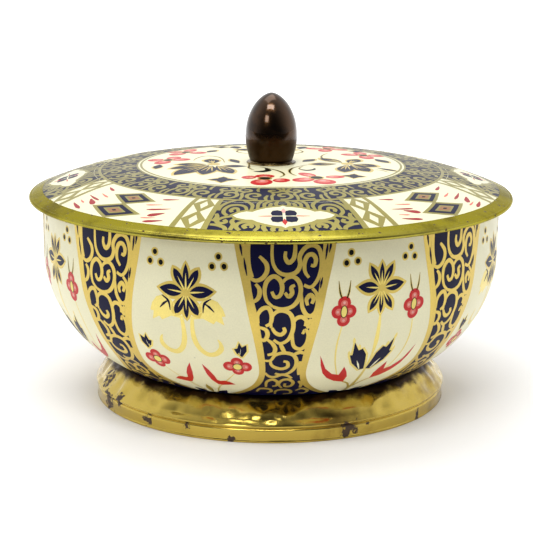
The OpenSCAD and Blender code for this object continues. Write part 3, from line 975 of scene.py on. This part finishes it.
def drawBrimSector(middle):
    ringBand(brimInks["navy"], brimMiddle, *brimEdges, middle - 17.9, middle + 17.9, 0)
    for flip in (-1, 1):
        side = partial(onBrimPlan, flip=flip, turn=middle)
        for line in brimScrolls:
            stroke(brimInks["lidGold"], curved(side(line), perSpan=4), (1.2, 1.7, 1.4), 1)
        fill(brimInks["navy"], side(cartoucheSquare), 3)
        fill(brimInks["navy"], side([(a, 2 * brimMiddle - r) for a, r in cartoucheSquare]), 3)
        stroke(brimInks["red"], side([(3.1, 80), (4.8, 80.1), (6.5, 80.2)]), (0.6, 0.5, 0.2), 3)
        for edge in (18.3, 25.9):
            stroke(brimInks["lidGold"], side([(edge, 67.4), (edge, 78), (edge, 89.8)]), (2,), 2)
        for low, high in ((68.2, 78.6), (78.9, 89.4)):
            mid = (low + high) / 2
            rhombus = side([(22.1, low + 0.6), (24.3, mid), (22.1, high - 0.6), (19.9, mid)])
            stroke(brimInks["lidGold"], rhombus, (2.9,), 1, closed=True)
    outline = cartouche + [(-a, r) for a, r in cartouche[-2::-1]]
    under = [(-a, r) for a, r in cartoucheUnder[:0:-1]] + cartoucheUnder
    whole = onBrimPlan(outline + under, turn=middle)
    stroke(brimInks["lidGold"], whole, (2.6,), 1, closed=True)
    fill(brimInks["cream"], whole, 2)
    for r, reach, ink in ((76.3, 2.1, "blush"), (83.9, 2.2, "red")):
        fill(brimInks[ink], onBrimPlan([(-0.65, r), (0, r - reach), (0.65, r), (0, r + reach)],
                                       turn=middle), 4)
    for r, halfAngle, halfHeight in panelDiamonds:
        for layer, (ink, size) in enumerate(diamondRings):
            fill(brimInks[ink], diamond(middle + 45, r, halfAngle * size, halfHeight * size), layer)
    for (a, r), (b, q), width, ink in redStrokes:
        bend = onBrimPlan([(a, r), ((a + b) / 2, r * 0.45 + q * 0.55), (b, q)], turn=middle + 45)
        stroke(brimInks[ink], curved(bend), (0.2, width * 0.8, width * 1.3, width * 1.5, 0.3), 1)


drawBrimSector(firstBand)
quarters = [Matrix.Translation((math.radians(90 * k) * brimMiddle, 0, 0)) for k in (1, 2, 3)]
for name, ink in brimInks.items():
    inkPiece("brim_print_" + name, ink, roundLid(brimMiddle), inkLooks[name], "lid",
             quarters)

ringInks = newInks("lidGold", "navy")
ringUnits = 20  # each has a left and a right spiral in both rows
unit = math.radians(360 / ringUnits) * ringMiddle
ringScrolls = [  # distance round the ring, radius, half width, half height, start and sweep
    (4.2, 62, 3.6, 4, 200, -430), (13.2, 62.2, 3.6, 3.9, 160, 430),
    (0.9, 56.2, 3.4, 2.9, 20, 400), (9.4, 56.2, 3.5, 3, -20, -420),
]
ringTails = [  # distance round the ring and radius
    [(0.4, 66.6), (0.2, 62.8), (0.9, 60.4), (0.2, 58.8)],
    [(8.7, 66.6), (8.9, 63.2), (8.3, 60.2), (9.2, 58.8)], [(4.9, 52.8), (5, 55.2), (4.4, 57.6)],
    [(14, 52.8), (13.6, 55.4), (14.2, 57.8)], [(17.2, 66.8), (16.9, 64.4), (17.6, 61.8)],
    [(6.4, 59.4), (5.6, 57.6), (6.3, 55.8)],
]
for r, width in ((67.4, 1.2), (52.7, 0.7), (51.2, 0.9)):
    stroke(ringInks["lidGold"], [(unit * t, -r) for t in steps(0, 1, 8)], (width,), 2)
ringBand(ringInks["navy"], ringMiddle, *ringEdges, 0, 360 / ringUnits, 0)
for x, r, *spiral in ringScrolls:
    stroke(ringInks["lidGold"], placed(scroll(*spiral, 0.12), x, -r), (1.3, 1.5, 1.45, 1.1), 1)
for tail in ringTails:
    stroke(ringInks["lidGold"], curved([(x, -r) for x, r in tail]), (0.9, 1.3, 0.9), 1)
around = [Matrix.Translation((unit * k, 0, 0)) for k in range(1, ringUnits)]
for name, ink in ringInks.items():
    inkPiece("ring_print_" + name, ink, roundLid(ringMiddle), inkLooks[name], "lid", around)

domeInks = newInks("leafGold", "navy", "red", "rose", "blush", "black")


def edgedLeaf(x, y, turn, edge, shape):  # navy on a larger gold leaf
    fill(domeInks["leafGold"], placed(leaf(*edge), x, y, turn), 0)
    fill(domeInks["navy"], placed(leaf(*shape), x, y, turn), 1)


def drawPetals(x, y, petals):  # direction, start, length and width of each navy petal
    for turn, start, length, width in petals:
        stalk = placed([(0, start)], x, y, turn)[0]
        edgedLeaf(*stalk, turn, (length + 1.6, width + 1.8, 1.15, 0.8), (length, width, 1.15, 0.8))
        for lean in (-10, 0, 10):
            fill(domeInks["leafGold"], placed(leaf(length * 0.68, 0.6), *stalk, turn + lean), 2)
    fill(domeInks["leafGold"], placed(oval(2.6, 2.6), x, y), 2)


def drawDomeFlower(x, y, petals, centre):
    for turn, reach, length, width in petals:
        middle = placed([(0, reach)], x, y, turn)[0]
        for ink, size, layer in (("red", 1, 1), ("rose", 0.58, 2), ("blush", 0.26, 3)):
            shift = placed([(0, -length * (1 - size) * 0.25)], *middle, turn)[0]
            fill(domeInks[ink], placed(oval(width / 2 * size, length / 2 * size), *shift, turn), layer)
    fill(domeInks["leafGold"], placed(oval(centre + 0.5, centre + 0.7), x, y), 4)
    fill(domeInks["black"], placed(oval(centre - 0.1, centre + 0.1), x, y), 5)


domeFlowers = [  # place, centre, and direction, reach, length and width of each petal
    (-2.4, -36.4, 2.2, [(190, 6.8, 10.5, 8.2), (0, 4.6, 7.2, 7.4), (290, 6.4, 5.6, 6.4),
                        (118, 7, 6.4, 7.2)]),
    (17, -33.8, 2.4, [(230, 6.6, 9.2, 7.2), (158, 7.6, 8.4, 8.6), (72, 7.4, 7.6, 5.2),
                      (330, 6.8, 9.6, 5.6)]),
    (-41, 5.6, 1.8, [(200, 5.6, 8.6, 6.4), (80, 5.2, 7.6, 6.2), (285, 5.2, 6.6, 6.4), (20, 5.8, 7.2, 5.8)]),
    (-35, 26.4, 1.8, [(215, 5.6, 8.4, 6), (110, 5.4, 7.4, 6), (300, 5.4, 7, 5.8), (15, 6, 9, 5.4)]),
    (37.6, 21, 1.8, [(170, 5.6, 8.8, 6.2), (80, 5.2, 7.4, 6.2), (280, 5.6, 7.4, 6), (350, 5.8, 7.8, 5.6)]),
    (23.4, 38, 1.8, [(190, 5.4, 8.4, 6), (100, 5.2, 7.2, 6), (275, 5.4, 7.2, 5.8), (10, 5.8, 8, 5.6)]),
]
for x, y, centre, petals in domeFlowers:
    drawDomeFlower(x, y, petals, centre)
domePetals = [  # place, and direction, start, length and width of each navy petal
    (-22.5, -5, [(212, 3, 24, 8.2), (188, 4, 19.5, 6.8), (160, 4, 18.5, 6.4), (268, 3, 11.5, 5.6),
                 (352, 2, 10.5, 6.2), (238, 3, 16.5, 6.4)]),
    (30, -2, [(186, 3, 16.5, 6.6), (156, 3, 15.5, 6.8), (112, 2, 10.5, 7.2), (22, 2, 10.5, 5.6),
              (322, 3, 13.5, 5.2), (262, 4, 10.5, 6)]),
    (-2, 33, [(330, 2, 13, 6), (0, 3, 15, 6.4), (30, 2, 13, 6), (270, 2, 10.5, 5.6), (90, 2, 10.5, 5.6)]),
]
for domePetal in domePetals:
    drawPetals(*domePetal)
looseLeaves = [  # place, direction, length and width
    (-9.2, -9.8, 272, 9.4, 5.4), (-12.6, -2.4, 340, 10.5, 3.4), (12.4, 1.6, 36, 8.6, 4.2),
    (-43.6, -4.6, 186, 9.6, 3.6), (41.6, 12.4, 150, 10.4, 4.4), (-26.4, 25.2, 32, 7.4, 3.6),
    (41, -10, 122, 9.4, 2.6), (-14, 36, 350, 9, 4.6), (12, 36, 12, 9, 4.4),
]
for x, y, turn, length, width in looseLeaves:
    edgedLeaf(x, y, turn, (length + 1.2, width + 1.2, 1.1), (length, width, 1.1))
for x, y, reach in ((-18.2, -38.4, 6.4), (31.2, -29, 5.4), (-20.6, 42, 4.6), (35.4, 33.4, 4.6)):
    for turn in (0, 90, 180, 270):
        edgedLeaf(x, y, turn + 4, (reach, reach * 0.8, 0.7, 1.3), (reach * 0.84, reach * 0.56, 0.7, 1.3))
domeStems = [  # width and path
    (1, [(3.2, -33.8), (4.8, -29.4), (4.4, -24.6), (2.4, -19.4), (-0.6, -15.2), (-4.4, -10.8)]),
    (1, [(9.6, -30.6), (7.6, -26), (7, -20.4), (8, -14.4), (10.6, -9.6), (14.2, -5.4)]),
    (1, [(-6.6, -18.2), (-8.6, -14), (-8.6, -8.6), (-8.8, 0)]),
    (0.9, [(-30.8, 3.6), (-29.8, 9.4), (-27.4, 14.4), (-24.4, 15.2), (-21.2, 12.6), (-19.2, 6.4),
           (-18.4, -1)]),
    (0.9, [(23.2, 24.6), (20.8, 18.4), (20.4, 12.2), (22.8, 7), (26.2, 3)]),
    (0.8, [(16.4, -17), (12.6, -18.4), (10.8, -14), (12.4, -9)]),
    (0.9, [(-8, 20), (-14, 27), (-12, 35)]),
    (0.9, [(7, 20), (13, 27), (11, 35)]),
    (0.7, [(40.2, -13.6), (43.2, -15.6), (45.4, -18.4)]),
]
for width, path in domeStems:
    stroke(domeInks["leafGold"], curved(path), (width * 0.5, width * 1.3, width * 0.5), 0)
    stroke(domeInks["black"], curved(path), (0.1, width * 0.62, 0.1), 1)
for path, width in (([(-6.8, -21.2), (-3.6, -21.8), (-1.2, -18.8), (-2.4, -13.2)], 3.4),
                    ([(11.2, -16), (13.6, -18.4), (16.2, -16.6), (16.8, -13.4)], 2.2)):
    stroke(domeInks["black"], curved(path), (0.2, width, width * 0.8, 0.3), 2)
for name, ink in domeInks.items():
    inkPiece("dome_print_" + name, ink, onLid, inkLooks[name], "lid")
print("lid printed")


# Floor, light and camera

studio = {
    "paperEnds": (-0.4, -0.16),  # the paper fades out in front, as reflections see it
    "farGlow": (0.14, 0.7),  # distance over which the paper brightens to plain white
    "skyFades": (-0.9, 0.3),
    "lens": 108.76,
    "eye": (-0.001577, -0.62906, 0.19524),
    "tilt": 77.033,
    "roll": 0.344,
}
softboxes = [  # name, place, target, size and power
    ("overheadSoftbox", (-0.1, 0.2, 1.2), (0, 0, 0.05), (0.9, 0.7), 4.5),
    ("frontSoftbox", (-0.45, -1, 0.75), (0, 0, 0.06), (0.35, 0.3), 2),
    ("windowSoftbox", (-0.06, -0.48, 1), (0, 0, 0.05), (0.6, 0.24), 5),
]


def grey(level):
    return (level, level, level, 1)


def frontFade(tree, place, limits):  # 0 in front and 1 behind, but 1 everywhere to the camera
    front = addNode(tree, "ShaderNodeSeparateXYZ", {0: place}).outputs["Y"]
    seen = addNode(tree, "ShaderNodeLightPath").outputs["Is Camera Ray"]
    return calc(tree, "MAXIMUM", ramp(tree, front, *limits), seen)


def makeFloor():
    mesh = bmesh.new()
    bmesh.ops.create_grid(mesh, x_segments=1, y_segments=1, size=12)
    material, tree, shader = newMaterial("paleFloor")
    place = objectPlace(tree)
    pale = frontFade(tree, place, studio["paperEnds"])
    away = addNode(tree, "ShaderNodeVectorMath", {0: place}, operation="LENGTH").outputs["Value"]
    glow = blend(tree, ramp(tree, away, *studio["farGlow"]), grey(0.06), grey(0.5))
    feed(tree, shader, {
        "Base Color": blend(tree, pale, grey(0.04), grey(0.92)),
        "Emission Color": blend(tree, pale, grey(0), glow),
        "Emission Strength": 1,
        "Roughness": 0.6,
        "Specular IOR Level": 0.2,
    })
    floor = finishPiece("floor", mesh, [material])


def makeSky():
    world = bpy.data.worlds.new("studio")
    bpy.context.scene.world = world
    world.use_nodes = True
    tree = world.node_tree
    direction = addNode(tree, "ShaderNodeTexCoord").outputs["Generated"]
    behind = frontFade(tree, direction, studio["skyFades"])
    backdrop = blend(tree, behind, grey(0.06), grey(1))
    feed(tree, tree.nodes["Background"], {"Color": backdrop, "Strength": 1})


def addSoftbox(name, place, target, size, power):
    light = bpy.data.lights.new(name, "AREA")
    light.shape = "RECTANGLE"
    light.size, light.size_y = size
    light.energy = power
    lamp = bpy.data.objects.new(name, light)
    lamp.location = place
    lamp.rotation_euler = (Vector(target) - Vector(place)).to_track_quat("-Z", "Y").to_euler()
    bpy.context.collection.objects.link(lamp)


def makeCamera():
    camera = bpy.data.cameras.new("camera")
    camera.lens = studio["lens"]
    camera.sensor_width = 36
    camera.clip_end = 50
    eye = bpy.data.objects.new("camera", camera)
    tilt = Matrix.Rotation(math.radians(studio["tilt"]), 4, "X")
    roll = Matrix.Rotation(math.radians(studio["roll"]), 4, "Z")
    eye.matrix_world = Matrix.Translation(studio["eye"]) @ tilt @ roll
    bpy.context.collection.objects.link(eye)
    bpy.context.scene.camera = eye


makeFloor()
makeSky()
for softbox in softboxes:
    addSoftbox(*softbox)
makeCamera()
bpy.context.scene.view_settings.view_transform = "Standard"
print("studio set")
